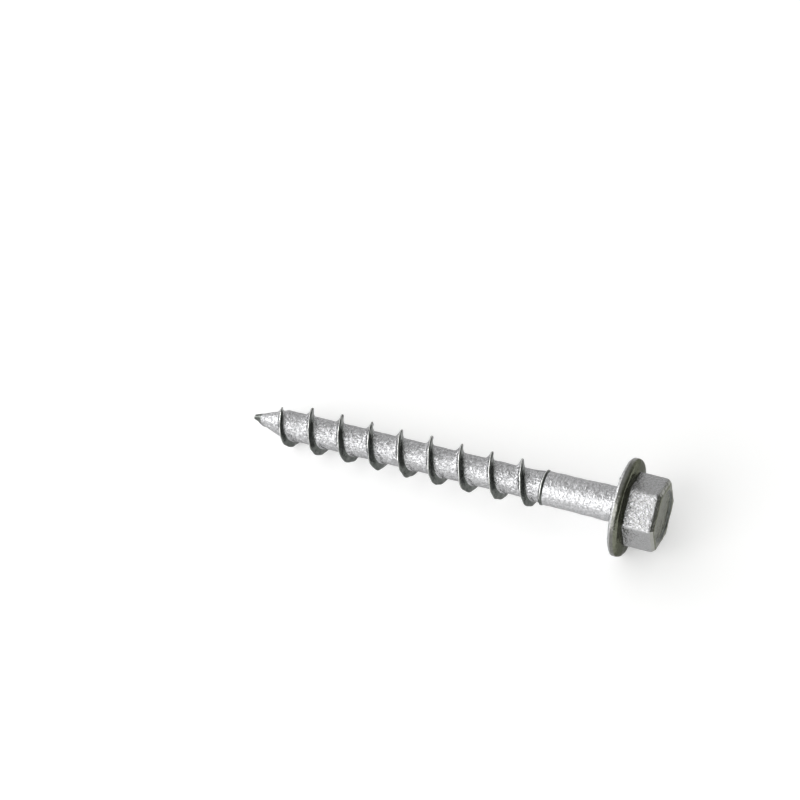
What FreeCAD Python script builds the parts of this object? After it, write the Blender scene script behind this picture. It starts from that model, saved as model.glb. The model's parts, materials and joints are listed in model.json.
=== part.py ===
import FreeCAD, Part
import Sketcher
import math
import os
import re

# Construction screw: a hexagon washer head, a plain shank and one coarse wood thread that runs out
# on a gimlet point, all in one piece of cold-formed and thread-rolled steel.
#
# The screw is drawn along its own X axis: the underside of the flange is at X = 0, the head reaches
# towards +X and the point towards -X. Angles round the axis are taken from +Y towards +Z. At the end
# the whole screw is laid down as it rests on a table, on its flange and its first full crest.

doc = FreeCAD.newDocument("construction_screw")

# Driving dimensions, in millimetres and degrees

DIMENSIONS = {
    "under_head_length": 38.1,
    "flange_diameter": 9.66,
    "flange_edge_thickness": 0.85,
    "flange_hub_thickness": 1.08,
    "flange_edge_round": 0.28,
    "flange_top_round": 0.42,
    "head_height": 4.15,
    "across_flats": 6.35,
    "hexagon_corner_radius": 0.45,
    "hexagon_turn": 38.0,
    "hub_ledge": 0.05,
    "crown_bevel": 0.36,
    "dish_diameter": 5.2,
    "dish_depth": 0.2,
    "dish_slope": 35.0,
    "rib_count": 8,
    "rib_height": 0.18,
    "rib_width": 0.56,
    "rib_crest_width": 0.12,
    "rib_reach": 4.25,
    "rib_root": 0.21,
    "rib_start": 0.89,
    "shank_diameter": 3.34,
    "neck_diameter": 3.56,
    "neck_length": 4.6,
    "neck_fillet": 0.65,
    "ridge_distance": 7.8,
    "ridge_diameter": 3.5,
    "ridge_width": 0.42,
    "ridge_crest_width": 0.14,
    "run_out_diameter": 3.12,
    "run_out_length": 1.8,
    "root_diameter": 2.86,
    "thread_diameter": 4.44,
    "pitch": 3.126,
    "thread_turn": 109.3,
    "crest_half_width": 0.115,
    "skirt_to_point": 0.66,
    "skirt_to_head": 0.54,
    "point_length": 3.35,
    "point_end_diameter": 0.44,
    "point_end_round": 0.1,
    "thread_start": 0.3,
    "first_crest_length": 4.6,
    "thread_sink": 0.12,
}

sheet = doc.addObject("Spreadsheet::Sheet", "Dimensions")
for row, (alias, value) in enumerate(DIMENSIONS.items(), start=1):
    sheet.set(f"A{row}", alias)
    sheet.set(f"B{row}", str(value))
    sheet.setAlias(f"B{row}", alias)
doc.recompute()


def size(alias):
    """The number that the sheet holds under this alias."""
    return float(sheet.get(alias))


def bound(text):
    """The same expression, with each alias in it read from the sheet."""
    return re.sub(
        "[a-z_]+",
        lambda word: f"Dimensions.{word[0]}" if word[0] in DIMENSIONS else word[0],
        text,
    )


# The blank: shank, flange, hexagon and ribs, as one body

blank = doc.addObject("PartDesign::Body", "Blank")


def origin_feature(role):
    """One of the blank's own origin planes or axes."""
    return next(f for f in blank.Origin.OriginFeatures if f.Role == role)


def new_sketch(name, plane):
    """An empty sketch that lies on one of the blank's origin planes."""
    sketch = blank.newObject("Sketcher::SketchObject", name)
    sketch.AttachmentSupport = [(origin_feature(plane), "")]
    sketch.MapMode = "FlatFace"
    return sketch


def pin(sketch, line, end, place):
    """Holds one end of a line at the place that two expressions give."""
    for kind, text in zip(("DistanceX", "DistanceY"), place):
        value = float(sheet.evalExpression(bound(text)))
        index = sketch.addConstraint(Sketcher.Constraint(kind, -1, 1, line, end, value))
        if value:
            sketch.setExpression(f"Constraints[{index}]", bound(text))


def where(place):
    """A sketch point at the place that two expressions give."""
    across, up = (float(sheet.evalExpression(bound(text))) for text in place)
    return FreeCAD.Vector(across, up, 0)


def hold_radius(sketch, arc, text):
    """Holds an arc's radius at the value that an expression gives."""
    radius = float(sheet.evalExpression(bound(text)))
    index = sketch.addConstraint(Sketcher.Constraint("Radius", arc, radius))
    sketch.setExpression(f"Constraints[{index}]", bound(text))


def closed_outline(sketch, corners):
    """Lines from corner to corner and back, with each corner held by its two expressions."""
    following = corners[1:] + corners[:1]
    for corner, next_corner in zip(corners, following):
        sketch.addGeometry(Part.LineSegment(where(corner), where(next_corner)))
    for side, corner in enumerate(corners):
        pin(sketch, side, 1, corner)
        before = (side - 1) % len(corners)
        sketch.addConstraint(Sketcher.Constraint("Coincident", before, 2, side, 1))


def revolved(kind, name, corners):
    """A Revolution or Groove of an outline in the XZ plane, once round the screw's axis."""
    sketch = new_sketch(f"{name}_outline", "XZ_Plane")
    closed_outline(sketch, corners)
    feature = blank.newObject(f"PartDesign::{kind}", name)
    feature.Profile = sketch
    feature.ReferenceAxis = (sketch, ["H_Axis"])
    feature.Angle = 360
    doc.recompute()
    return feature


SAME_PLACE = 1e-6


def circles_at(feature, along, radius):
    """The names of the feature's circular edges at one place along the axis, with one radius."""
    found = []
    for index, edge in enumerate(feature.Shape.Edges, start=1):
        if not isinstance(edge.Curve, Part.Circle):
            continue
        near = abs(edge.Curve.Center.x - along) < SAME_PLACE
        if near and abs(edge.Curve.Radius - radius) < SAME_PLACE:
            found.append(f"Edge{index}")
    return found


def edges_at(feature, along):
    """The names of all edges of the feature that lie at one place along the axis."""
    return [
        f"Edge{index}"
        for index, edge in enumerate(feature.Shape.Edges, start=1)
        if all(abs(vertex.X - along) < SAME_PLACE for vertex in edge.Vertexes)
    ]


def rounded(name, feature, edges, radius):
    """A Fillet on named edges of a feature, with its radius as an expression."""
    fillet = blank.newObject("PartDesign::Fillet", name)
    fillet.Base = (feature, edges)
    fillet.Radius = float(sheet.evalExpression(bound(radius)))
    fillet.setExpression("Radius", bound(radius))
    doc.recompute()
    return fillet


# Turned outline, from the end of the point up the thread's root, over the small ridge where the
# rolling stopped, along the shank and round the flange. The flange's top slopes up to a narrow ledge
# round the hexagon's foot. No round takes more than its share of the edge that it lies on.

forging = revolved(
    "Revolution",
    "Forging",
    (
        ("-under_head_length", "0"),
        ("-under_head_length", "point_end_diameter / 2"),
        ("-under_head_length + point_length", "root_diameter / 2"),
        ("-ridge_distance - ridge_width / 2 - run_out_length", "root_diameter / 2"),
        ("-ridge_distance - ridge_width / 2", "run_out_diameter / 2"),
        ("-ridge_distance - ridge_crest_width / 2", "ridge_diameter / 2"),
        ("-ridge_distance + ridge_crest_width / 2", "ridge_diameter / 2"),
        ("-ridge_distance + ridge_width / 2", "shank_diameter / 2"),
        ("-neck_length", "shank_diameter / 2"),
        ("0", "neck_diameter / 2"),
        ("0", "flange_diameter / 2"),
        ("flange_edge_thickness", "flange_diameter / 2"),
        ("flange_hub_thickness", "across_flats / sqrt(3) + hub_ledge"),
        ("flange_hub_thickness", "0"),
    ),
)

point_edges = circles_at(forging, -size("under_head_length"), size("point_end_diameter") / 2)
pointed = rounded(
    "PointEnd", forging, point_edges, "min(point_end_round, point_end_diameter / 4)"
)
neck_edges = circles_at(pointed, 0, size("neck_diameter") / 2)
necked = rounded("Neck", pointed, neck_edges, "neck_fillet")
rim_edges = circles_at(necked, 0, size("flange_diameter") / 2)
rimmed = rounded(
    "FlangeRim", necked, rim_edges, "min(flange_edge_round, flange_edge_thickness / 3)"
)
top_edges = circles_at(rimmed, size("flange_edge_thickness"), size("flange_diameter") / 2)
topped = rounded(
    "FlangeTop", rimmed, top_edges, "min(flange_top_round, flange_edge_thickness / 2)"
)

# Hexagon with rounded corners: six flats, each joined to the next by an arc. Corner 0 lies at the
# angle hexagon_turn. A corner's arc touches its two flats the same distance from the sharp corner.

SIDES = 6
CORNER_ANGLE = 360 // SIDES
ONWARD = 120
BACKWARD = -120


def flat_end(corner, way):
    """The end of the flat that leaves a corner onward or backward, where the corner's arc starts."""
    to_corner = f"(hexagon_turn + {CORNER_ANGLE * corner}) * 1 deg"
    along_flat = f"(hexagon_turn + {CORNER_ANGLE * corner + way}) * 1 deg"
    return tuple(
        f"across_flats / sqrt(3) * {wave}({to_corner})"
        f" + hexagon_corner_radius / sqrt(3) * {wave}({along_flat})"
        for wave in ("cos", "sin")
    )


def corner_arc(corner):
    """The arc that rounds a corner, bulging away from the screw's axis."""
    ends = [where(flat_end(corner, way)) for way in (BACKWARD, ONWARD)]
    turn = math.radians(size("hexagon_turn") + CORNER_ANGLE * corner)
    round_off = size("hexagon_corner_radius") * (2 / math.sqrt(3) - 1)
    reach = size("across_flats") / math.sqrt(3) - round_off
    middle = FreeCAD.Vector(reach * math.cos(turn), reach * math.sin(turn), 0)
    return Part.Arc(ends[0], middle, ends[1])


hexagon = new_sketch("Hexagon_outline", "YZ_Plane")
for side in range(SIDES):
    start = flat_end(side, ONWARD)
    end = flat_end(side + 1, BACKWARD)
    hexagon.addGeometry(Part.LineSegment(where(start), where(end)))
    pin(hexagon, side, 1, start)
    pin(hexagon, side, 2, end)
for side in range(SIDES):
    arc = hexagon.addGeometry(corner_arc(side + 1))
    hexagon.addConstraint(Sketcher.Constraint("Coincident", side, 2, arc, 1))
    hexagon.addConstraint(Sketcher.Constraint("Coincident", arc, 2, (side + 1) % SIDES, 1))
    hold_radius(hexagon, arc, "hexagon_corner_radius")

drive = blank.newObject("PartDesign::Pad", "Hexagon")
drive.Profile = hexagon
drive.setExpression("Length", bound("head_height"))
doc.recompute()

# Crown: a bevel runs round the top of the hexagon, and the top is a shallow dish

crown = blank.newObject("PartDesign::Chamfer", "Crown")
crown.Base = (drive, edges_at(drive, size("head_height")))
crown.setExpression("Size", bound("min(crown_bevel, hexagon_corner_radius * 4 / 5)"))
doc.recompute()
dish = revolved(
    "Groove",
    "Dish",
    (
        ("head_height", "0"),
        ("head_height", "dish_diameter / 2"),
        ("head_height - dish_depth", "dish_diameter / 2 - dish_depth / tan(dish_slope * 1 deg)"),
        ("head_height - dish_depth", "0"),
    ),
)

# Ribs that bite into the connector plate: one ridge along a radius of the flange, then its copies

rib_section = new_sketch("Rib_section", "XY_Plane")
closed_outline(
    rib_section,
    (
        ("rib_root", "-rib_width / 2"),
        ("0", "-rib_width / 2"),
        ("-rib_height", "-rib_crest_width / 2"),
        ("-rib_height", "rib_crest_width / 2"),
        ("0", "rib_width / 2"),
        ("rib_root", "rib_width / 2"),
    ),
)
rib_section.setExpression(".AttachmentOffset.Base.z", bound("rib_start"))
rib = blank.newObject("PartDesign::Pad", "Rib")
rib.Profile = rib_section
rib.setExpression("Length", bound("rib_reach - rib_start"))
doc.recompute()
ribs = blank.newObject("PartDesign::PolarPattern", "Ribs")
ribs.Originals = [rib]
ribs.Axis = (origin_feature("X_Axis"), [""])
ribs.Angle = 360
ribs.setExpression("Occurrences", bound("rib_count"))
blank.Tip = ribs
doc.recompute()

# The thread: one fin of slim section with a rounded crest and flared skirts, carried along a
# right-hand helix. It rises out of the cone of the point, reaches its full height after the first
# turn, and sinks back into the blank just before the ridge. Its skin is one spline surface, whose
# control points are worked out station by station along the helix.

STATION_STEP = 20.0
DEGREE = 3
LEAST_WIDTH = 0.45
FADE_POWER = 2.5
ENDS_BURIED = 0.04

# Control points across half of the fin, from its base to its crest: the distance from the fin's
# middle in parts of the skirt or of half the crest, and the height in parts of the fin's height.

SKIRT_SHAPE = ((0.72, 0.02), (0.4, 0.26))
CREST_SHAPE = ((1.3, 0.62), (1.08, 1.0), (0.0, 1.0))

point_end = -size("under_head_length")
root = size("root_diameter") / 2
full_height = size("thread_diameter") / 2 - root
fin_first = point_end + size("thread_start")
fin_last = -size("ridge_distance") - size("ridge_width") / 2 + size("thread_sink")


def blank_radius(along):
    """The radius of the blank under the thread, at a place along the axis."""
    end_radius = size("point_end_diameter") / 2
    cone = end_radius + (root - end_radius) * (along - point_end) / size("point_length")
    taper_start = -size("ridge_distance") - size("ridge_width") / 2 - size("run_out_length")
    share = max(0.0, along - taper_start) / size("run_out_length")
    return min(cone, root + share * (size("run_out_diameter") / 2 - root))


def fin_height(along):
    """How far the fin's crest stands above the blank, at a place along the axis."""
    first_crest = point_end + size("first_crest_length")
    growth = min(1.0, (along - fin_first) / (first_crest - fin_first))
    fade = max(0.0, 1.0 - (fin_last - along) / size("run_out_length"))
    share = growth * (1.0 - fade ** FADE_POWER)
    height = size("thread_diameter") / 2 - max(root, blank_radius(along))
    return (height + ENDS_BURIED) * share - ENDS_BURIED


def crest_angle(along):
    """The angle of the thread's crest at a place along the axis, counted on past full turns."""
    return size("thread_turn") + 360 * (along - point_end) / size("pitch")


def half_fin(along, skirt):
    """Distances from the fin's middle and radii of the control points, from its base to its crest."""
    height = fin_height(along)
    base = blank_radius(along)
    width = LEAST_WIDTH + (1 - LEAST_WIDTH) * max(0.0, height) / full_height
    half_crest = size("crest_half_width")
    points = [(skirt * width, base - size("thread_sink"))]
    points += [(skirt * width * out, base + height * up) for out, up in SKIRT_SHAPE]
    points += [(half_crest * width * out, base + height * up) for out, up in CREST_SHAPE]
    return points


def station_row(along):
    """The control points across the fin at one station, from the point's side to the head's."""
    to_point = [(-out, radius) for out, radius in half_fin(along, size("skirt_to_point"))]
    to_head = half_fin(along, size("skirt_to_head"))
    turn = math.radians(crest_angle(along))
    return [
        FreeCAD.Vector(along + out, radius * math.cos(turn), radius * math.sin(turn))
        for out, radius in to_point + to_head[-2::-1]
    ]


# Control points a little outside the true radius make the spline pass through it. The first and the
# last row lie on the surface itself.

turned = 360 * (fin_last - fin_first) / size("pitch")
stations = math.ceil(turned / STATION_STEP)
step = (fin_last - fin_first) / stations
swell = 3 / (2 + math.cos(math.radians(turned / stations)))

grid = []
for station in range(stations + 1):
    row = station_row(fin_first + step * station)
    if 0 < station < stations:
        row = [FreeCAD.Vector(p.x, p.y * swell, p.z * swell) for p in row]
    grid.append(row)


def clamped_knots(count, degree):
    """Knots and multiplicities of a clamped, evenly spaced spline with this many control points."""
    spans = count - degree
    return list(range(spans + 1)), [degree + 1] + [1] * (spans - 1) + [degree + 1]


def spline_surface(points, degree_across):
    """A surface of degree three along the helix, over a grid of control points."""
    knots, multiplicities = clamped_knots(len(points), DEGREE)
    knots_across, multiplicities_across = clamped_knots(len(points[0]), degree_across)
    surface = Part.BSplineSurface()
    surface.buildFromPolesMultsKnots(
        points,
        multiplicities,
        multiplicities_across,
        knots,
        knots_across,
        False,
        False,
        DEGREE,
        degree_across,
    )
    return surface


def cut_by_turns(surface):
    """The surface as one face for each turn of the helix, so that it meets the blank cleanly."""
    start, end, low, high = surface.bounds()
    turns = round(turned / 360)
    marks = [round(start + (end - start) * turn / turns) for turn in range(turns + 1)]
    for mark, following in zip(marks, marks[1:]):
        piece = surface.copy()
        piece.segment(mark, following, low, high)
        yield piece.toShape()


skin = spline_surface(grid, DEGREE)
underside = spline_surface([[row[0], row[-1]] for row in grid], 1)
ends = [
    Part.Face(Part.Wire([skin.uIso(end).toShape(), underside.uIso(end).toShape()]))
    for end in skin.bounds()[:2]
]
shell = Part.makeShell([*cut_by_turns(skin), *cut_by_turns(underside), *ends])
shell.sewShape()
fin = Part.makeSolid(shell)
if fin.Volume < 0:
    fin.reverse()

thread = doc.addObject("Part::Feature", "Thread")
thread.Shape = fin

# One piece: the thread grown out of the blank

screw = doc.addObject("Part::Fuse", "Screw")
screw.Label = "screw"
screw.Base = blank
screw.Tool = thread
doc.recompute()

# At rest the screw leans on the round of the flange's rim and on the lowest point of a crest: the
# one that it reaches first as the point comes down

rim_round = rimmed.Radius.Value
rim_centre = size("flange_diameter") / 2 - rim_round


def lean_on(along):
    """The angle between the axis and a plane under the rim's round and the crest at one place."""
    reach = rim_round - along
    drop = rim_centre - blank_radius(along) - fin_height(along)
    return math.atan2(drop, reach) + math.asin(rim_round / math.hypot(reach, drop))


DOWN = 270
lowest_crests = [
    point_end + size("pitch") * (DOWN - size("thread_turn") + 360 * turn) / 360
    for turn in range(math.ceil(turned / 360))
]
lean = math.degrees(min(lean_on(x) for x in lowest_crests if fin_first < x < fin_last))
laid = FreeCAD.Rotation(FreeCAD.Vector(0, -1, 0), lean)
screw.Placement = FreeCAD.Placement(FreeCAD.Vector(), laid)
box = screw.Shape.optimalBoundingBox(False, False)
seat = FreeCAD.Vector(-box.Center.x, -box.Center.y, -box.ZMin)
screw.Placement = FreeCAD.Placement(seat, laid)
doc.recompute()

for item in doc.Objects:
    if "Invalid" in item.State or "Error" in item.State:
        raise RuntimeError(f"{item.Label} was not built: {item.State}")
if screw.Shape.isNull() or not screw.Shape.isValid() or len(screw.Shape.Solids) != 1:
    raise RuntimeError("the screw is not one sound solid")

os.makedirs("parts", exist_ok=True)
screw.Shape.exportStep(f"parts/{screw.Label}.step")
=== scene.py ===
import json
import math
import bpy
import numpy as np
from mathutils import Matrix, Vector


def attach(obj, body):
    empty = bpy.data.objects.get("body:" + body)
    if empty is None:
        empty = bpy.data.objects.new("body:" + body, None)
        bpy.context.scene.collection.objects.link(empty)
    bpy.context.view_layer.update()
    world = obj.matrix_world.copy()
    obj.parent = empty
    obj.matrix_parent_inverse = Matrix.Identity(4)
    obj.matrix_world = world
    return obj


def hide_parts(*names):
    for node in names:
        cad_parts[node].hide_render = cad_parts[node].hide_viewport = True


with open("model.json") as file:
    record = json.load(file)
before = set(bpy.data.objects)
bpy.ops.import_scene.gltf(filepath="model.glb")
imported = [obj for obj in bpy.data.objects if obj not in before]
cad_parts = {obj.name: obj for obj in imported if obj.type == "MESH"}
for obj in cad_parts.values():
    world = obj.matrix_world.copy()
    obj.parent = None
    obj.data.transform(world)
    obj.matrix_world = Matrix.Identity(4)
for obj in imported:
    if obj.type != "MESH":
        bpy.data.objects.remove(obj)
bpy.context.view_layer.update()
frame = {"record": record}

# The screw lies as it was put down, on the rim of its flange and on its first full crest, and nothing
# holds it. It is worked out along its own axis, in millimetres: the flange's underside is at zero, the
# head on the plus side and the point on the minus side.

MM = 0.001

mounts = {mount["name"]: mount for mount in frame["record"]["mounts"]}
to_head = -Vector(mounts["thread"]["axis"]).normalized()
on_axis = Vector(mounts["thread"]["pos_m"])
on_bearing_face = Vector(mounts["bearing_face"]["pos_m"])
under_head = on_axis + to_head * (on_bearing_face - on_axis).dot(to_head)
across = Vector((0, 1, 0))
upward = to_head.cross(across)

# The point and the root: steel wire, rolled thinner where the thread is and pinched off to a blunt
# gimlet point. Just before the ridge the root swells out again. The zinc on it is the roughest, with
# coarse grains that glitter.

COLUMNS = 168
ARC_STEPS = 6
LENGTH = 38.1
POINT_LENGTH = 3.35
POINT_END_RADIUS = 0.22
POINT_END_CUT = 0.07
TIP_RING = 0.02
ROOT_RADIUS = 1.43
RUN_OUT_RADIUS = 1.56
RUN_OUT_LENGTH = 1.8
RIDGE_AT = -7.8
RIDGE_HALF_FOOT = 0.21
THREAD_FROM = -LENGTH + 0.25
THREAD_TO = RIDGE_AT - RIDGE_HALF_FOOT - 0.03


def blank_radius(along):
    """Radius of the wire under the thread: the smaller of the point's cone and the root, where the
    root swells in a straight line before the ridge."""
    cone = POINT_END_RADIUS + (ROOT_RADIUS - POINT_END_RADIUS) * (along + LENGTH) / POINT_LENGTH
    taper = np.clip((along - RIDGE_AT + RIDGE_HALF_FOOT) / RUN_OUT_LENGTH + 1, 0, 1)
    return np.minimum(cone, ROOT_RADIUS + taper * (RUN_OUT_RADIUS - ROOT_RADIUS))


def turned_path(corners):
    """Rows of places along a path through corners, each given as (along, radius, cut, steps before
    it). A corner is replaced by the circular arc that leaves both its sides at the cut's distance: a
    quadratic curve through it, weighted by the cosine of half the turn."""
    points = np.array([np.broadcast_arrays(x, r, np.zeros(COLUMNS))[:2] for x, r, _, _ in corners])
    rows = [points[0]]
    left = points[0]
    for number in range(1, len(corners)):
        here = points[number]
        cut, steps = corners[number][2:]
        before = (here - points[number - 1]) / np.linalg.norm(here - points[number - 1], axis=0)
        arrival = here - before * cut
        for step in range(1, steps + 1):
            rows.append(left + (arrival - left) * step / steps)
        left = arrival
        if cut:
            after = points[number + 1] - here
            after = after / np.linalg.norm(after, axis=0)
            weight = np.sqrt((1 + (before * after).sum(axis=0)) / 2)
            for share in np.linspace(0, 1, ARC_STEPS + 1)[1:]:
                pull = 2 * weight * share * (1 - share)
                outer = (1 - share) ** 2 + share ** 2
                ends = arrival * (1 - share) ** 2 + (here + after * cut) * share ** 2
                rows.append((ends + here * pull) / (outer + pull))
            left = here + after * cut
    return np.array(rows)


tip_path = turned_path((
    (-LENGTH, TIP_RING, 0, 0),
    (-LENGTH, POINT_END_RADIUS, POINT_END_CUT, 3),
    (THREAD_FROM, blank_radius(THREAD_FROM), 0, 2),
))

GRAINS_PER_METRE = 3700
GRAIN_DETAIL = 3.0
GRAIN_ROUGHNESS = 0.62
GRAIN_TWIST = 0.4
TONES = (0.36, 0.64)
PATCHES_PER_METRE = 900
PATCHES = (0.3, 0.7)
GLOSS = (0.15, 0.25)
COARSE_GRAIN = 0.00015


def zinc(name, light, dull, edge, depth):
    """Galvanised zinc: a noise of fine grains stands up by a depth in metres and takes the colour from
    dull to light, and a wider noise makes patches of more and less gloss. The edge is the share of the
    gloss that is left where the zinc is seen at a slant."""
    metal = bpy.data.materials.new(name)
    metal.use_nodes = True
    nodes, links = metal.node_tree.nodes, metal.node_tree.links
    shader = nodes["Principled BSDF"]
    shader.inputs["Metallic"].default_value = 1.0
    shader.inputs["Specular Tint"].default_value = (edge, edge, edge, 1)
    place = nodes.new("ShaderNodeTexCoord").outputs["Object"]

    grains = nodes.new("ShaderNodeTexNoise")
    grains.inputs["Scale"].default_value = GRAINS_PER_METRE
    grains.inputs["Detail"].default_value = GRAIN_DETAIL
    grains.inputs["Roughness"].default_value = GRAIN_ROUGHNESS
    grains.inputs["Distortion"].default_value = GRAIN_TWIST
    links.new(place, grains.inputs["Vector"])

    bump = nodes.new("ShaderNodeBump")
    bump.inputs["Distance"].default_value = depth
    links.new(grains.outputs["Fac"], bump.inputs["Height"])
    links.new(bump.outputs["Normal"], shader.inputs["Normal"])

    brightness = nodes.new("ShaderNodeMapRange")
    brightness.inputs["From Min"].default_value = TONES[0]
    brightness.inputs["From Max"].default_value = TONES[1]
    links.new(grains.outputs["Fac"], brightness.inputs["Value"])

    tone = nodes.new("ShaderNodeMix")
    tone.data_type = "RGBA"
    tone.inputs["A"].default_value = (*dull, 1)
    tone.inputs["B"].default_value = (*light, 1)
    links.new(brightness.outputs["Result"], tone.inputs["Factor"])
    links.new(tone.outputs["Result"], shader.inputs["Base Color"])

    patches = nodes.new("ShaderNodeTexNoise")
    patches.inputs["Scale"].default_value = PATCHES_PER_METRE
    patches.inputs["Detail"].default_value = GRAIN_DETAIL
    links.new(place, patches.inputs["Vector"])

    gloss = nodes.new("ShaderNodeMapRange")
    gloss.inputs["From Min"].default_value = PATCHES[0]
    gloss.inputs["From Max"].default_value = PATCHES[1]
    gloss.inputs["To Min"].default_value = GLOSS[0]
    gloss.inputs["To Max"].default_value = GLOSS[1]
    links.new(patches.outputs["Fac"], gloss.inputs["Value"])
    links.new(gloss.outputs["Result"], shader.inputs["Roughness"])
    return metal


zinc_root = zinc("zinc_root", (0.60, 0.60, 0.614), (0.35, 0.352, 0.358), 0.5, COARSE_GRAIN)

# The ridge and the shank: the same wire at its full thickness. The rolling dies leave the ridge, a low
# ring, where the thread ends. The shank grows a little under the head and flares into the flange.

RIDGE_RADIUS = 1.75
RIDGE_HALF_CREST = 0.07
SHANK_RADIUS = 1.67
NECK_RADIUS = 1.78
NECK_LENGTH = 4.6
NECK_FILLET = 0.63
FINE_GRAIN = 0.00012

shank_corners = (
    (THREAD_TO, blank_radius(THREAD_TO), 0, 0),
    (RIDGE_AT - RIDGE_HALF_FOOT, RUN_OUT_RADIUS, 0.015, 1),
    (RIDGE_AT - RIDGE_HALF_CREST, RIDGE_RADIUS, 0.06, 2),
    (RIDGE_AT + RIDGE_HALF_CREST, RIDGE_RADIUS, 0.06, 1),
    (RIDGE_AT + RIDGE_HALF_FOOT, SHANK_RADIUS, 0.05, 2),
    (-NECK_LENGTH, SHANK_RADIUS, 0.5, 20),
    (0, NECK_RADIUS, NECK_FILLET, 26),
)
zinc_shank = zinc("zinc_shank", (0.60, 0.60, 0.614), (0.40, 0.402, 0.41), 0.6, FINE_GRAIN)

# The flange: a washer that is cold-headed in one piece with the screw, flat below, a low cone on top
# and rounded over at its rim. The coating barrel rubs it most, so its zinc is smooth. Its dull, dark
# olive is painted shade, standing for the dark surroundings that its top reflects, and round the rim it
# is greyer.

FLANGE_RADIUS = 4.83
FLANGE_EDGE = 0.85
FLANGE_HUB = 1.08
RIM_CUT = 0.28
RIM_TOP_CUT = 0.342
HALF_FLATS = 3.175
LEDGE = 0.05
LEDGE_RADIUS = HALF_FLATS * 2 / math.sqrt(3) + LEDGE
WORN_GRAIN = 0.00004

flange_corners = (
    (0, FLANGE_RADIUS, RIM_CUT, 18),
    (FLANGE_EDGE, FLANGE_RADIUS, RIM_TOP_CUT, 2),
    (FLANGE_HUB, LEDGE_RADIUS, 0.02, 8),
)
zinc_flange_painted_shade = zinc("zinc_flange_painted_shade", (0.22, 0.228, 0.180), (0.14, 0.147, 0.112), 0.36, WORN_GRAIN)
zinc_rim = zinc("zinc_rim", (0.20, 0.20, 0.185), (0.14, 0.142, 0.13), 0.8, WORN_GRAIN)

# The hexagon: six flats for the nut driver, struck from the same steel, with rounded corners and a
# bevel all round the top. Inside the bevel a shallow round dish is pressed in. The flats keep their
# grain, while bevel and top are worn smooth.

SIDES = 6
CORNER_TURN = 38.0
CORNER_ROUND = 0.45
CORNER_SPREAD = 4
HEAD_HEIGHT = 4.15
BEVEL = 0.36
DISH_RADIUS = 2.6
DISH_DEPTH = 0.2
DISH_SLOPE = 0.286
DISH_RING = 0.05


def corner_turns():
    """Angles of the columns, in degrees: ten of each side's columns lie within four degrees of the
    hexagon's corner, and the others are spread evenly over the flat."""
    side = COLUMNS // SIDES
    marks = (-CORNER_SPREAD, CORNER_SPREAD, 360 / SIDES - CORNER_SPREAD)
    steps = np.interp(np.arange(-5, side - 5), (-5, 5, side - 5), marks)
    sectors = 360 / SIDES * np.arange(SIDES)[:, None]
    return (CORNER_TURN + sectors + steps).ravel()


def hexagon_radius(turns, inset):
    """Distance of the hexagon's outline from the axis at each angle, set in by a distance: the flat's
    distance over the cosine, or the far side of the circle that rounds the corner, where it is less."""
    half_side = 180 / SIDES
    from_corner = (turns - CORNER_TURN + half_side) % (2 * half_side) - half_side
    flat = (HALF_FLATS - inset) / np.cos(np.radians(half_side - np.abs(from_corner)))
    centre = (HALF_FLATS - CORNER_ROUND) * 2 / math.sqrt(3)
    sine = centre * np.sin(np.radians(from_corner))
    corner = CORNER_ROUND - inset
    rounded = centre * np.cos(np.radians(from_corner)) + np.sqrt(np.maximum(corner ** 2 - sine ** 2, 0))
    touch = math.atan2(corner / 2, centre + corner * math.sqrt(3) / 2)
    return np.where(np.abs(from_corner) < math.degrees(touch), rounded, flat)


columns = corner_turns()
flats = hexagon_radius(columns, 0)
head_path = turned_path((
    *shank_corners,
    *flange_corners,
    (FLANGE_HUB, flats, 0.03, 1),
    (HEAD_HEIGHT - BEVEL, flats, 0.2, 20),
    (HEAD_HEIGHT, hexagon_radius(columns, BEVEL), 0.12, 2),
    (HEAD_HEIGHT, DISH_RADIUS, 0.07, 2),
    (HEAD_HEIGHT - DISH_DEPTH, DISH_RADIUS - DISH_SLOPE, 0.1, 2),
    (HEAD_HEIGHT - DISH_DEPTH, DISH_RING, 0, 16),
))
zinc_hexagon = zinc("zinc_hexagon", (0.44, 0.44, 0.452), (0.39, 0.392, 0.39), 0.6, FINE_GRAIN)
zinc_bevel = zinc("zinc_bevel", (0.41, 0.412, 0.39), (0.35, 0.353, 0.33), 0.6, WORN_GRAIN)
# The top's dark olive, like the flange's, is painted shade, standing for the shadowed floor that it
# reflects.
zinc_crown_painted_shade = zinc("zinc_crown_painted_shade", (0.22, 0.228, 0.180), (0.14, 0.147, 0.112), 0.7, WORN_GRAIN)

# The ribs: eight low ridges that the heading die leaves on the flange's underside, from the neck
# nearly to the rim, where they bite into the steel plate. The skin's columns swing over to them under
# the flange, and back to the hexagon's corners round the rim.

RIBS = 8
RIB_HEIGHT = 0.18
RIB_HALF_FOOT = 0.28
RIB_HALF_CREST = 0.06
RIB_REACH = 4.25
RIB_END = 0.1
RIB_MARGIN = 0.4
SWING_FROM = -NECK_FILLET - 0.6
SWING_TO = -0.15
BACK_FROM = FLANGE_RADIUS - RIM_CUT - 0.05
BACK_TO = FLANGE_HUB - 0.01


def rib_turns(radius):
    """Angles of the columns where the ribs are: nine columns run straight along each rib, at fixed
    distances from its middle line, and the others are spread evenly between the ribs."""
    sector = COLUMNS // RIBS
    foot = math.degrees(math.asin(RIB_HALF_FOOT / radius))
    crest = math.degrees(math.asin(RIB_HALF_CREST / radius))
    last = 360 / RIBS - foot - RIB_MARGIN
    marks = (-4.5, -4, -2, 0, 2, 4, sector - 4.5)
    turns = (-foot - RIB_MARGIN, -foot, -crest, 0, crest, foot, last)
    steps = np.interp(np.arange(-4, sector - 4), marks, turns)
    sectors = 360 / RIBS * np.arange(1, RIBS + 1)[:, None]
    return (sectors + steps).ravel()


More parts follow.
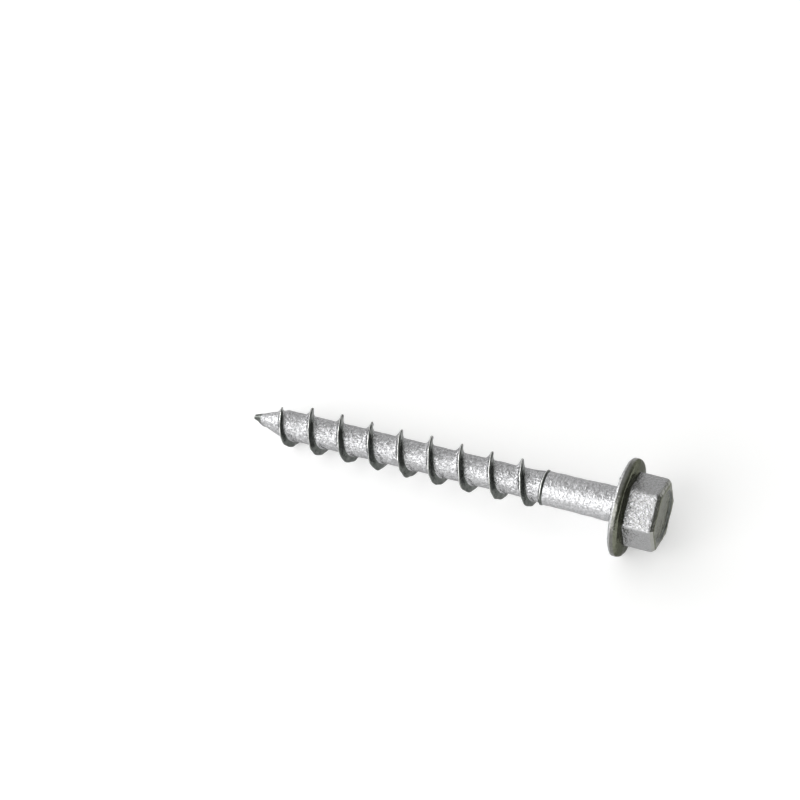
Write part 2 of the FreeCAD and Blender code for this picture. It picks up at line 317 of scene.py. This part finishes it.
def rib_height(radius, turns):
    """Height of the ribs over the underside: a ridge with straight flanks and a narrow flat crest
    along each of eight radii, which ends in a short slope before the flange's rim."""
    from_rib = (turns + 180 / RIBS) % (360 / RIBS) - 180 / RIBS
    beside = np.abs(radius * np.sin(np.radians(from_rib)))
    flank = np.clip((RIB_HALF_FOOT - beside) / (RIB_HALF_FOOT - RIB_HALF_CREST), 0, 1)
    return RIB_HEIGHT * flank * np.clip((RIB_REACH + RIB_END / 2 - radius) / RIB_END, 0, 1)


run = np.append(0, np.hypot(*np.diff(head_path, axis=0).mean(axis=2).T).cumsum())
mean_along, mean_radius = head_path.mean(axis=2).T
neck_run = run[np.argmax(mean_along > SWING_FROM)]
underside_run = run[np.argmax(mean_along > SWING_TO)]
rim_run = run[np.argmax(mean_radius > BACK_FROM)]
hub_run = run[np.argmax(mean_along > BACK_TO)]
swing = np.interp(run, (neck_run, underside_run, rim_run, hub_run), (0, 1, 1, 0))
head_turns = np.array([
    columns + share * (rib_turns(max(radius, NECK_RADIUS)) - columns)
    for share, radius in zip(swing, mean_radius)
])
ribbed = rib_height(head_path[:, 1], head_turns) * (run < rim_run)[:, None]
on_rib = (head_path[:, 0] > -RIB_HEIGHT) & (ribbed > 0)
head_path[:, 0] = np.where(on_rib, np.minimum(head_path[:, 0], -ribbed), head_path[:, 0])

# The thread, rolled up out of the wire: one right-hand fin with a narrow flat-topped crest and flared
# skirts. It grows out of the point's cone during its first turn and sinks back just before the ridge.
# The crest's brighter zinc is a painted highlight, and the darker zinc on its side towards the head is
# painted shade.

PITCH = 3.126
CREST_RADIUS = 2.22
THREAD_TURN = 109.3
FIN_FIRST = -LENGTH + 0.3
FIN_FULL = -LENGTH + 4.6
FIN_LAST = RIDGE_AT - RIDGE_HALF_FOOT + 0.12
LEAST_WIDTH = 0.45
FADE_POWER = 2.5
ROOT_STEPS = 5
FIN_STEPS = 24
SPLINE_STEPS = 800
CREST_POINTS = ((0.15, 0.62), (0.124, 1.0), (0.0, 1.0))
SKIRT_POINTS = ((1.0, -0.15), (0.72, 0.02), (0.4, 0.26))
SKIRTS = (0.66, 0.54)


def fin_section():
    """The fin's section, as distances from its middle and parts of its height: a cubic spline, built up
    from steps one degree at a time, that leaves the root at one skirt, passes over the crest and comes
    down the other skirt."""
    to_point = [(-SKIRTS[0] * out, up) for out, up in SKIRT_POINTS]
    to_point += [(-out, up) for out, up in CREST_POINTS]
    down_to_root = [(SKIRTS[1] * out, up) for out, up in SKIRT_POINTS]
    down_to_root += list(CREST_POINTS)
    poles = np.array(to_point + down_to_root[-2::-1])
    spans = len(poles) - 3
    knots = np.concatenate(([0] * 3, np.arange(spans + 1), [spans] * 3))
    at = np.linspace(0, spans, SPLINE_STEPS + 1)[:, None]
    basis = ((knots[:-1] <= at) & (at < knots[1:])).astype(float)
    for degree in (1, 2, 3):
        rise = knots[degree:-1] - knots[:-degree - 1]
        fall = knots[degree + 1:] - knots[1:-degree]
        up = (at - knots[:-degree - 1]) / np.where(rise > 0, rise, 1) * (rise > 0)
        down = (knots[degree + 1:] - at) / np.where(fall > 0, fall, 1) * (fall > 0)
        basis = basis[:, :-1] * up + basis[:, 1:] * down
    curve = basis[:-1] @ poles
    curve = curve[curve[:, 1] >= 0]
    every = np.linspace(0, len(curve) - 1, FIN_STEPS + 1)
    return tuple(np.interp(every, np.arange(len(curve)), side) for side in curve.T)


def fin_height(along):
    """Height of the crest over the wire: it grows in a straight line over the first turn, and fades
    over the run-out as one less a power of the way gone."""
    growth = np.clip((along - FIN_FIRST) / (FIN_FULL - FIN_FIRST), 0, 1)
    gone = np.clip(1 - (FIN_LAST - along) / RUN_OUT_LENGTH, 0, 1)
    height = CREST_RADIUS - np.maximum(ROOT_RADIUS, blank_radius(along))
    return np.maximum(height, 0) * growth * (1 - gone ** FADE_POWER)


offsets, heights = fin_section()
first_turn = math.floor(THREAD_TURN / 360 + (THREAD_FROM + LENGTH) / PITCH) - 2
last_turn = math.ceil(THREAD_TURN / 360 + (THREAD_TO + LENGTH) / PITCH) + 2
angles = (columns[None, :] + 360 * np.arange(first_turn, last_turn)[:, None]).ravel()
crest_at = -LENGTH + PITCH * (angles - THREAD_TURN) / 360
height_at = fin_height(crest_at)
width_at = LEAST_WIDTH + (1 - LEAST_WIDTH) * height_at / (CREST_RADIUS - ROOT_RADIUS)
over_fin = offsets[None, :] * width_at[:, None]
foot = over_fin[:, :1]
before_fin = -PITCH / 2 + (foot + PITCH / 2) * (np.arange(ROOT_STEPS) / ROOT_STEPS)
foot = over_fin[:, -1:]
after_fin = foot + (PITCH / 2 - foot) * (1 + np.arange(ROOT_STEPS - 1)) / ROOT_STEPS
fin_up = np.concatenate((np.zeros(ROOT_STEPS), heights, np.zeros(ROOT_STEPS - 1)))
strip_along = crest_at[:, None] + np.concatenate((before_fin, over_fin, after_fin), axis=1)
strip_radius = blank_radius(strip_along) + height_at[:, None] * fin_up
strip_turns = np.broadcast_to(angles[:, None], strip_along.shape)

# A brighter zinc that is a painted highlight, for the crests and the ridge's side towards the point.
zinc_painted_highlight = zinc("zinc_painted_highlight", (0.60, 0.60, 0.60), (0.47, 0.475, 0.46), 0.7, WORN_GRAIN)
# A dark zinc that is painted shade, for the sides of fin and ridge towards the head, the dish's wall
# and the point's end.
zinc_painted_shade = zinc("zinc_painted_shade", (0.140, 0.148, 0.140), (0.085, 0.092, 0.086), 0.8, WORN_GRAIN)

# One skin of steel closes over all of it. The rings of the point and of the head meet the slanting
# strip of the thread, whose rows run along the fin: where the strip runs past its first or its last
# ring, its places are those of the ring.

tip_rings = len(tip_path)
head_rings = len(head_path)
tip_start = 2
strip_start = tip_start + tip_rings * COLUMNS
head_start = strip_start + strip_along.size
ring_column = np.arange(len(angles))[:, None] % COLUMNS
strip_ids = strip_start + np.arange(strip_along.size).reshape(strip_along.shape)
strip_ids = np.where(strip_along <= THREAD_FROM, strip_start - COLUMNS + ring_column, strip_ids)
strip_ids = np.where(strip_along >= THREAD_TO, head_start + ring_column, strip_ids)
strip_ids = np.concatenate((strip_ids[:-COLUMNS], strip_ids[COLUMNS:, :1]), axis=1)


def ring_ids(start, count):
    """Numbers of the places on stacked rings, with the first column again after the last."""
    ids = start + np.arange(count * COLUMNS).reshape(count, COLUMNS)
    return np.concatenate((ids, ids[:, :1]), axis=1)


def faces_between(ids):
    """Two triangles for each four neighbouring places of a grid, without those that have no area."""
    a, b = ids[:-1, :-1], ids[1:, :-1]
    c, d = ids[1:, 1:], ids[:-1, 1:]
    triangles = np.stack((np.stack((a, b, c), axis=-1), np.stack((a, c, d), axis=-1)), axis=2)
    triangles = triangles.reshape(-1, 3)
    first, second, third = triangles.T
    return triangles[(first != second) & (second != third) & (third != first)]


def fan(pole, ring, onward):
    """Triangles from a pole to each step of the ring round it, taken onward or backward."""
    ends = (ring[:-1], ring[1:]) if onward else (ring[1:], ring[:-1])
    return np.stack((np.full(COLUMNS, pole), *ends), axis=-1)


tip_ids = ring_ids(tip_start, tip_rings)
head_ids = ring_ids(head_start, head_rings)
poles_along = (-LENGTH, HEAD_HEIGHT - DISH_DEPTH)
along = (poles_along, tip_path[:, 0].ravel(), strip_along.ravel(), head_path[:, 0].ravel())
radius = ((0, 0), tip_path[:, 1].ravel(), strip_radius.ravel(), head_path[:, 1].ravel())
turns = ((0, 0), np.tile(columns, tip_rings), strip_turns.ravel(), head_turns.ravel())
along, radius = np.concatenate(along), np.concatenate(radius)
turns = np.radians(np.concatenate(turns))
places = np.stack((along, radius * np.cos(turns), radius * np.sin(turns)), axis=-1)
faces = np.concatenate((
    fan(0, tip_ids[0], False),
    faces_between(tip_ids)[:, ::-1],
    faces_between(strip_ids),
    faces_between(head_ids)[:, ::-1],
    fan(1, head_ids[-1], True),
))
used, faces = np.unique(faces, return_inverse=True)
faces = faces.reshape(-1, 3)
places = places[used]

# The zinc: a coat that is beaten on cold in a tumbling barrel, so it lies in soft lumps, the highest
# on the fin, whose edge takes most of the knocks. With it the screw is whole.

LUMP_SEED = 5
LUMP_LENGTHS = (0.6, 1.5)
LUMP_WAVES = 40
LUMP_HEIGHT = 0.009
FIN_LUMP_HEIGHT = 0.028


def lumps(points):
    """Height of the zinc's lumps: a sum of sine waves in forty directions, with lengths of 0.6 to 1.5
    mm, each as high as its length allows."""
    chance = np.random.default_rng(LUMP_SEED)
    ways = chance.normal(size=(LUMP_WAVES, 3))
    ways /= np.linalg.norm(ways, axis=1, keepdims=True)
    lengths = chance.uniform(*LUMP_LENGTHS, size=LUMP_WAVES)
    starts = chance.uniform(0, 2 * math.pi, size=LUMP_WAVES)
    waves = np.sin(points @ (ways * 2 * math.pi / lengths[:, None]).T + starts)
    return waves @ lengths / np.sqrt((lengths ** 2).sum() / 2)


def outward(points, triangles):
    """The direction that the surface faces at each place: the sum of its triangles' normals."""
    a, b, c = (points[triangles[:, corner]] for corner in range(3))
    facing = np.cross(b - a, c - a)
    total = np.zeros_like(points)
    for corner in range(3):
        np.add.at(total, triangles[:, corner], facing)
    return total / np.linalg.norm(total, axis=1, keepdims=True)


above_wire = np.hypot(places[:, 1], places[:, 2]) - blank_radius(places[:, 0])
up_the_fin = np.clip(above_wire / (CREST_RADIUS - ROOT_RADIUS), 0, 1) * (places[:, 0] < RIDGE_AT)
lump_height = LUMP_HEIGHT + (FIN_LUMP_HEIGHT - LUMP_HEIGHT) * up_the_fin
coated = places + outward(places, faces) * (lumps(places) * lump_height)[:, None]
laid = (coated @ np.array((to_head, across, upward))) * MM + np.array(under_head)

mesh = bpy.data.meshes.new("screw_skin")
mesh.from_pydata(laid.tolist(), [], faces.tolist())
mesh.polygons.foreach_set("use_smooth", np.ones(len(faces), dtype=bool))
mesh.update()
screw = bpy.data.objects.new("screw_skin", mesh)
bpy.context.scene.collection.objects.link(screw)
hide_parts("screw")
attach(screw, "root")

# Where each finish of the zinc lies: bright on the wire, grey on the struck hexagon, under the flange
# and at the rim's foot, and a darker grey on the rest of the rim. A dark olive on the flange's top and
# on the crown is painted shade, and so is the dark zinc on the sides of fin and ridge towards the head,
# on the dish's wall and at the point's end. A brighter zinc along the crests and on the ridge's side
# towards the point is a painted highlight. Each area lies over those before it.

DARK_POINT = 0.8
FIN_FROM = 0.1
LEAST_HEIGHT = 0.05
CREST_SHARE = 0.6
FLANGE_FROM = 2.6
RIM_FROM = 4.55
RIM_DEPTH = 0.6
RIM_FOOT_FROM = 4.4
RIM_FOOT_DEPTH = 0.3
UNDERSIDE_FROM = NECK_RADIUS + 0.1
UNDERSIDE_TO = 4.5
UNDERSIDE_DEPTH = 0.4
CROWN_DEPTH = 0.1
BORDER = 0.02
DISH_EDGE = 0.03

x, y, z = places[faces].mean(axis=1).T
from_axis = np.hypot(y, z)
from_crest = x + LENGTH - PITCH * (np.degrees(np.arctan2(z, y)) - THREAD_TURN) / 360
from_crest = (from_crest + PITCH / 2) % PITCH - PITCH / 2
up_fin = (from_axis - blank_radius(x)) / np.maximum(fin_height(x - from_crest), LEAST_HEIGHT)

fin = (x < RIDGE_AT) & (from_axis > blank_radius(x) + FIN_FROM)
ridge = np.abs(x - RIDGE_AT) < RIDGE_HALF_FOOT
flange = (from_axis > FLANGE_FROM) & (x < FLANGE_HUB + BORDER)
rim = flange & (from_axis > RIM_FROM) & (x < RIM_DEPTH)
rim_foot = flange & (from_axis > RIM_FOOT_FROM) & (x < RIM_FOOT_DEPTH)
underside = (from_axis > UNDERSIDE_FROM) & (from_axis < UNDERSIDE_TO)
underside &= np.abs(x) < UNDERSIDE_DEPTH
hexagon = x > FLANGE_HUB
bevel = (x > HEAD_HEIGHT - BEVEL + BORDER) & (from_axis > DISH_RADIUS)
dish = (x > FLANGE_HUB) & (from_axis < DISH_RADIUS)
crown = (x > HEAD_HEIGHT - CROWN_DEPTH) | dish
dish_wall = dish & (x < HEAD_HEIGHT - DISH_EDGE)
dish_wall &= from_axis > DISH_RADIUS - DISH_SLOPE - DISH_EDGE

areas = (
    (zinc_shank, x >= RIDGE_AT),
    (zinc_root, x < RIDGE_AT),
    (zinc_flange_painted_shade, flange),
    (zinc_rim, rim),
    (zinc_hexagon, hexagon | underside | rim_foot),
    (zinc_bevel, bevel),
    (zinc_crown_painted_shade, crown),
    (zinc_painted_shade, dish_wall),
    (zinc_painted_highlight, ridge & (x < RIDGE_AT)),
    (zinc_painted_shade, ridge & (x >= RIDGE_AT)),
    (zinc_painted_highlight, fin & (from_crest < 0) & (up_fin > CREST_SHARE)),
    (zinc_painted_shade, fin & (from_crest >= 0)),
    (zinc_painted_shade, x < -LENGTH + DARK_POINT),
)
finish = np.zeros(len(faces), dtype=np.int32)
for metal, area in areas:
    if mesh.materials.find(metal.name) < 0:
        mesh.materials.append(metal)
    finish[area] = mesh.materials.find(metal.name)
mesh.polygons.foreach_set("material_index", finish)

# The table: a sheet of plain white paper under the screw, which shows white to the camera and keeps
# the screw's soft shadow.

PAPER = (0.88, 0.88, 0.88, 1)
PAPER_ROUGHNESS = 0.9
PAPER_LIFT = 0.23
HALF_TABLE = 1.5

table_mesh = bpy.data.meshes.new("table_paper")
corners = [(-HALF_TABLE, -HALF_TABLE, 0), (HALF_TABLE, -HALF_TABLE, 0)]
corners += [(HALF_TABLE, HALF_TABLE, 0), (-HALF_TABLE, HALF_TABLE, 0)]
table_mesh.from_pydata(corners, [], [(0, 1, 2, 3)])
table_top = bpy.data.objects.new("table_paper", table_mesh)
bpy.context.scene.collection.objects.link(table_top)

paper = bpy.data.materials.new("white_paper")
paper.use_nodes = True
nodes, links = paper.node_tree.nodes, paper.node_tree.links
shader = nodes["Principled BSDF"]
shader.inputs["Base Color"].default_value = PAPER
shader.inputs["Roughness"].default_value = PAPER_ROUGHNESS
shader.inputs["Specular IOR Level"].default_value = 0.0
shader.inputs["Emission Color"].default_value = (1, 1, 1, 1)
ray = nodes.new("ShaderNodeLightPath")
seen = ray.outputs["Is Camera Ray"]
for kind in ("Is Glossy Ray", "Is Transmission Ray"):
    either = nodes.new("ShaderNodeMath")
    either.operation = "MAXIMUM"
    links.new(seen, either.inputs[0])
    links.new(ray.outputs[kind], either.inputs[1])
    seen = either.outputs["Value"]
lift = nodes.new("ShaderNodeMath")
lift.operation = "MULTIPLY"
links.new(seen, lift.inputs[0])
lift.inputs[1].default_value = PAPER_LIFT
links.new(lift.outputs["Value"], shader.inputs["Emission Strength"])
table_mesh.materials.append(paper)

# The light: a room that is bright on the left and dark on the right, a large soft box in front on the
# left, and a smaller one low on the left that brightens crests and rim and casts no shadow.

ROOM_LEFT = (1.20, 1.20, 1.20, 1)
ROOM_RIGHT = (0.16, 0.163, 0.15, 1)
ROOM_TURNS_DARK = 0.65
KEY_WAY = (-0.35, -0.82, 0.464)
KEY_WIDTH = 0.46
KEY_HEIGHT = 0.60
KEY_POWER = 2.25
LEFT_WAY = (-1.0, 0.0, 0.42)
LEFT_WIDTH = 0.35
LEFT_POWER = 1.5
BOX_DISTANCE = 0.6

room = bpy.data.worlds.new("room")
room.use_nodes = True
nodes, links = room.node_tree.nodes, room.node_tree.links
way = nodes.new("ShaderNodeTexCoord").outputs["Generated"]
parts = nodes.new("ShaderNodeSeparateXYZ")
links.new(way, parts.inputs["Vector"])
to_the_right = nodes.new("ShaderNodeMapRange")
to_the_right.inputs["From Min"].default_value = -1.0
to_the_right.inputs["From Max"].default_value = ROOM_TURNS_DARK
links.new(parts.outputs["X"], to_the_right.inputs["Value"])
wall = nodes.new("ShaderNodeMix")
wall.data_type = "RGBA"
wall.inputs["A"].default_value = ROOM_LEFT
wall.inputs["B"].default_value = ROOM_RIGHT
links.new(to_the_right.outputs["Result"], wall.inputs["Factor"])
links.new(wall.outputs["Result"], nodes["Background"].inputs["Color"])
bpy.context.scene.world = room


def soft_box(name, way, width, height, power, shadow):
    """A flat lamp that faces the screw from a direction, at the boxes' distance."""
    lamp = bpy.data.lights.new(name, "AREA")
    lamp.shape = "RECTANGLE"
    lamp.size = width
    lamp.size_y = height
    lamp.energy = power
    lamp.use_shadow = shadow
    box = bpy.data.objects.new(name, lamp)
    toward = Vector(way).normalized()
    facing = toward.to_track_quat("Z", "Y").to_matrix().to_4x4()
    box.matrix_world = Matrix.Translation(toward * BOX_DISTANCE) @ facing
    bpy.context.scene.collection.objects.link(box)


soft_box("key_box", KEY_WAY, KEY_WIDTH, KEY_HEIGHT, KEY_POWER, True)
soft_box("left_box", LEFT_WAY, LEFT_WIDTH, LEFT_WIDTH, LEFT_POWER, False)

# The camera: it looks down on the screw from the front and a little from the head's side, and frames
# it as the photograph does.

AZIMUTH = math.radians(21.154)
ELEVATION = math.radians(50.403)
ROLL = math.radians(-0.333)
AIM = Vector((-9.1217, 8.48, 0)) * MM
DISTANCE = 0.32
FOCAL_LENGTH = 144.3
SENSOR_WIDTH = 36

back = Vector((
    math.sin(AZIMUTH) * math.cos(ELEVATION),
    -math.cos(AZIMUTH) * math.cos(ELEVATION),
    math.sin(ELEVATION),
))
level = Vector((math.cos(AZIMUTH), math.sin(AZIMUTH), 0))
up = back.cross(level)
right = level * math.cos(ROLL) + up * math.sin(ROLL)
top = up * math.cos(ROLL) - level * math.sin(ROLL)
lens = bpy.data.cameras.new("camera")
lens.sensor_width = SENSOR_WIDTH
lens.lens = FOCAL_LENGTH
lens.clip_start = 0.01
camera = bpy.data.objects.new("camera", lens)
turned = Matrix((right, top, back)).transposed().to_4x4()
camera.matrix_world = Matrix.Translation(AIM + back * DISTANCE) @ turned
bpy.context.scene.collection.objects.link(camera)
bpy.context.scene.camera = camera
bpy.context.scene.view_settings.view_transform = "Standard"
